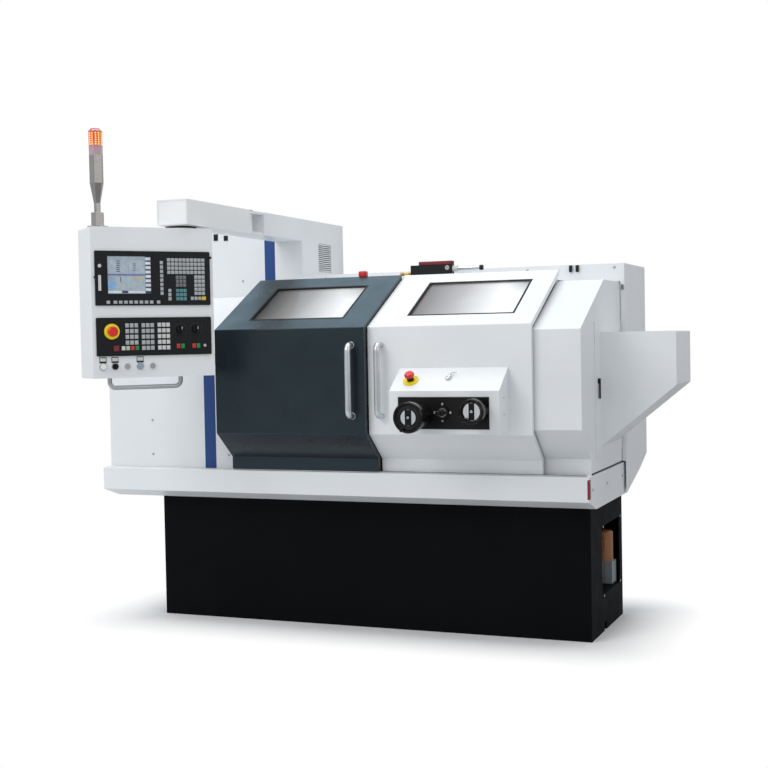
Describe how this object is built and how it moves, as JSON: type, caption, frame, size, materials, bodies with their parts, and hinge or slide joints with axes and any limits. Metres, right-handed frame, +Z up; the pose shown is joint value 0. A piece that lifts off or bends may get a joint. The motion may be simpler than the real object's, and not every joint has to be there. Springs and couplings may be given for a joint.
{
  "type": "cnc turning lathe",
  "caption": "Flat-bed turning lathe in a sheet-metal enclosure with sliding front doors, hinged end hood, swinging control pendant, chuck spindle, turret and tailstock",
  "frame": {"origin": "on the floor, at the centre of the base's footprint", "axes": "+Z up, +X along the spindle from the headstock to the tailstock, +Y from the operator to the back"},
  "size_m": [2.5821, 1.8898, 2.119],
  "materials": {
    "stand_black": "satin black enamel",
    "cover_white": "fine-textured white enamel",
    "door_grey": "fine-textured dark grey enamel",
    "dark_fittings": "matte black",
    "window_glass": "clear safety glass",
    "handle_white": "smooth white enamel",
    "machine_grey": "smooth grey enamel",
    "cast_iron": "machined and oiled",
    "steel": "turned and ground",
    "wheel_black": "moulded black",
    "signal_red": "bright red",
    "lamp_red": "translucent red",
    "lamp_grey": "matte dark grey",
    "panel_face": "satin keyboard film",
    "button_white": "white push button",
    "button_blue": "pale blue lit button",
    "belt_rubber": "ribbed drive belt",
    "pump_bronze": "warm brown enamel"
  },
  "bodies": {
    "machine_frame": {"base": "stand_black", "tray": "cover_white", "headstock_cover": "cover_white", "right_end_panel": "cover_white", "enclosure_roof": "cover_white", "rear_guard": "cover_white", "electrical_cabinet": "cover_white", "door_interlock": "dark_fittings", "bed": "cast_iron", "headstock": "machine_grey", "main_motor": "machine_grey", "drive_belt": "belt_rubber"},
    "dark_sliding_door": {"dark_door": "door_grey", "dark_door_window": "window_glass", "dark_door_handle": "handle_white"},
    "light_sliding_door": {"light_door": "cover_white", "light_door_window": "window_glass", "light_door_handle": "handle_white", "control_box": "cover_white", "handwheel_plate": "dark_fittings"},
    "box_estop": {"box_estop_button": "signal_red"},
    "z_wheel": {"z_handwheel": "wheel_black"},
    "z_grip": {"z_crank_grip": "wheel_black"},
    "x_wheel": {"x_handwheel": "wheel_black"},
    "x_grip": {"x_crank_grip": "wheel_black"},
    "joystick_gimbal": {"joystick_ring": "steel"},
    "joystick": {"joystick_lever": "wheel_black"},
    "side_door": {"end_door": "cover_white"},
    "side_door_latch": {"end_door_latch": "dark_fittings"},
    "rear_cabinet_door": {"cabinet_door": "cover_white"},
    "rear_latch": {"cabinet_latch": "dark_fittings"},
    "power_switch": {"main_switch": "signal_red"},
    "boom_arm": {"swing_arm": "cover_white"},
    "pendant": {"pendant_housing": "cover_white", "display_panel": "panel_face", "machine_panel": "panel_face", "pendant_handle": "handle_white", "signal_lamp": "lamp_grey", "signal_lens": "lamp_red"},
    "pendant_estop": {"pendant_estop_button": "signal_red"},
    "feed_dial": {"feed_knob": "wheel_black"},
    "speed_dial": {"speed_knob": "wheel_black"},
    "mode_dial": {"mode_switch": "wheel_black"},
    "start_key": {"start_button": "button_white"},
    "lit_key": {"lit_button": "button_blue"},
    "work_spindle": {"spindle": "steel", "chuck": "steel"},
    "jaw_1": {"chuck_jaw_1": "steel"},
    "jaw_2": {"chuck_jaw_2": "steel"},
    "jaw_3": {"chuck_jaw_3": "steel"},
    "drive_pulley": {"motor_pulley": "steel"},
    "leadscrew": {"z_ballscrew": "steel"},
    "saddle": {"carriage": "cast_iron"},
    "slide": {"cross_slide": "cast_iron"},
    "turret": {"turret_disc": "steel"},
    "tailstock_body": {"tailstock": "machine_grey"},
    "quill": {"tail_quill": "steel"},
    "quill_wheel": {"tail_handwheel": "wheel_black"},
    "tank": {"coolant_tank": "machine_grey", "coolant_pump": "pump_bronze"}
  },
  "joints": [
    {"name": "dark_door_slide", "type": "slide", "parent": "machine_frame", "child": "dark_sliding_door", "axis": [-1, 0, 0], "range_m": [0, 0.5]},
    {"name": "light_door_slide", "type": "slide", "parent": "machine_frame", "child": "light_sliding_door", "axis": [1, 0, 0], "range_m": [0, 0.185]},
    {"name": "box_estop_press", "type": "slide", "parent": "light_sliding_door", "child": "box_estop", "axis": [0, 0.5757, -0.8177], "range_m": [0, 0.005]},
    {"name": "z_wheel_spin", "type": "hinge", "parent": "light_sliding_door", "child": "z_wheel", "pos_m": [0.408, -0.768, 0.943], "axis": [0, 1, 0], "continuous": true},
    {"name": "x_wheel_spin", "type": "hinge", "parent": "light_sliding_door", "child": "x_wheel", "pos_m": [0.644, -0.702, 0.963], "axis": [0, 1, 0], "continuous": true},
    {"name": "z_grip_spin", "type": "hinge", "parent": "z_wheel", "child": "z_grip", "pos_m": [0.39124, -0.798, 0.89695], "axis": [0, 1, 0], "continuous": true},
    {"name": "x_grip_spin", "type": "hinge", "parent": "x_wheel", "child": "x_grip", "pos_m": [0.6222, -0.732, 0.93187], "axis": [0, 1, 0], "continuous": true},
    {"name": "joystick_up_down", "type": "hinge", "parent": "light_sliding_door", "child": "joystick_gimbal", "pos_m": [0.499, -0.656, 0.955], "axis": [1, 0, 0], "range_deg": [-12, 12], "stiffness_Nm_per_rad": 0.3},
    {"name": "joystick_left_right", "type": "hinge", "parent": "joystick_gimbal", "child": "joystick", "pos_m": [0.499, -0.656, 0.955], "axis": [0, 0, 1], "range_deg": [-12, 12], "stiffness_Nm_per_rad": 0.3},
    {"name": "side_door_hinge", "type": "hinge", "parent": "machine_frame", "child": "side_door", "pos_m": [1.02645, 0.2318, 1.028], "axis": [0, 0, 1], "range_deg": [0, 90]},
    {"name": "side_latch_turn", "type": "hinge", "parent": "side_door", "child": "side_door_latch", "pos_m": [1.024, -0.214, 1.06], "axis": [-1, 0, 0], "range_deg": [0, 90]},
    {"name": "rear_door_hinge", "type": "hinge", "parent": "machine_frame", "child": "rear_cabinet_door", "pos_m": [-1.24715, 0.7683, 1.215], "axis": [0, 0, 1], "range_deg": [0, 110]},
    {"name": "rear_latch_turn", "type": "hinge", "parent": "rear_cabinet_door", "child": "rear_latch", "pos_m": [-0.591, 0.786, 1.21], "axis": [0, 1, 0], "range_deg": [0, 90]},
    {"name": "main_switch_turn", "type": "hinge", "parent": "rear_cabinet_door", "child": "power_switch", "pos_m": [-1.061, 0.786, 1.56], "axis": [0, 1, 0], "range_deg": [0, 90]},
    {"name": "boom_swing", "type": "hinge", "parent": "machine_frame", "child": "boom_arm", "pos_m": [-0.617, -0.18, 1.787], "axis": [0, 0, 1], "range_deg": [-35, 10]},
    {"name": "pendant_swivel", "type": "hinge", "parent": "boom_arm", "child": "pendant", "pos_m": [-0.617, -0.733, 1.728], "axis": [0, 0, 1], "range_deg": [-25, 60]},
    {"name": "pendant_estop_press", "type": "slide", "parent": "pendant", "child": "pendant_estop", "axis": [-0.7532, 0.6578, 0], "range_m": [0, 0.005]},
    {"name": "feed_dial_turn", "type": "hinge", "parent": "pendant", "child": "feed_dial", "pos_m": [-0.58419, -0.80945, 1.304], "axis": [0.7532, -0.6578, 0], "range_deg": [-150, 150]},
    {"name": "speed_dial_turn", "type": "hinge", "parent": "pendant", "child": "speed_dial", "pos_m": [-0.53946, -0.75823, 1.304], "axis": [0.7532, -0.6578, 0], "range_deg": [-150, 150]},
    {"name": "mode_dial_turn", "type": "hinge", "parent": "pendant", "child": "mode_dial", "pos_m": [-0.76573, -1.01734, 1.158], "axis": [0.7532, -0.6578, 0], "range_deg": [-60, 0]},
    {"name": "start_key_press", "type": "slide", "parent": "pendant", "child": "start_key", "axis": [-0.7532, 0.6578, 0], "range_m": [0, 0.003], "stiffness_N_per_m": 300},
    {"name": "lit_key_press", "type": "slide", "parent": "pendant", "child": "lit_key", "axis": [-0.7532, 0.6578, 0], "range_m": [0, 0.003], "stiffness_N_per_m": 300},
    {"name": "spindle_spin", "type": "hinge", "parent": "machine_frame", "child": "work_spindle", "pos_m": [-0.7, 0, 1.08], "axis": [1, 0, 0], "continuous": true},
    {"name": "jaw_1_travel", "type": "slide", "parent": "work_spindle", "child": "jaw_1", "axis": [0, 0, 1], "range_m": [-0.006, 0.006]},
    {"name": "jaw_2_travel", "type": "slide", "parent": "work_spindle", "child": "jaw_2", "axis": [0, -0.866, -0.5], "range_m": [-0.006, 0.006]},
    {"name": "jaw_3_travel", "type": "slide", "parent": "work_spindle", "child": "jaw_3", "axis": [0, 0.866, -0.5], "range_m": [-0.006, 0.006]},
    {"name": "motor_spin", "type": "hinge", "parent": "machine_frame", "child": "drive_pulley", "pos_m": [-0.94, 0, 0.3], "axis": [1, 0, 0], "continuous": true},
    {"name": "carriage_travel", "type": "slide", "parent": "machine_frame", "child": "saddle", "axis": [1, 0, 0], "range_m": [-0.06, 0.6]},
    {"name": "leadscrew_spin", "type": "hinge", "parent": "machine_frame", "child": "leadscrew", "pos_m": [0, -0.212, 0.77], "axis": [1, 0, 0], "continuous": true},
    {"name": "cross_slide_travel", "type": "slide", "parent": "saddle", "child": "slide", "axis": [0, 1, 0], "range_m": [-0.04, 0.12]},
    {"name": "turret_index", "type": "hinge", "parent": "slide", "child": "turret", "pos_m": [-0.37, 0.178, 1.08], "axis": [1, 0, 0], "continuous": true},
    {"name": "tailstock_travel", "type": "slide", "parent": "machine_frame", "child": "tailstock_body", "axis": [1, 0, 0], "range_m": [-0.35, 0.02]},
    {"name": "quill_travel", "type": "slide", "parent": "tailstock_body", "child": "quill", "axis": [-1, 0, 0], "range_m": [0, 0.1]},
    {"name": "quill_wheel_spin", "type": "hinge", "parent": "tailstock_body", "child": "quill_wheel", "pos_m": [0.92, 0, 1.08], "axis": [1, 0, 0], "continuous": true},
    {"name": "tank_pull_out", "type": "slide", "parent": "machine_frame", "child": "tank", "axis": [1, 0, 0], "range_m": [0, 0.45]}
  ],
  "couplings": [
    {"joint": "motor_spin", "follows": "spindle_spin", "ratio": 1.8333},
    {"joint": "jaw_2_travel", "follows": "jaw_1_travel", "ratio": 1},
    {"joint": "jaw_3_travel", "follows": "jaw_1_travel", "ratio": 1},
    {"joint": "leadscrew_spin", "follows": "carriage_travel", "rad_per_m": 628.32},
    {"joint": "quill_wheel_spin", "follows": "quill_travel", "rad_per_m": 1256.6}
  ]
}
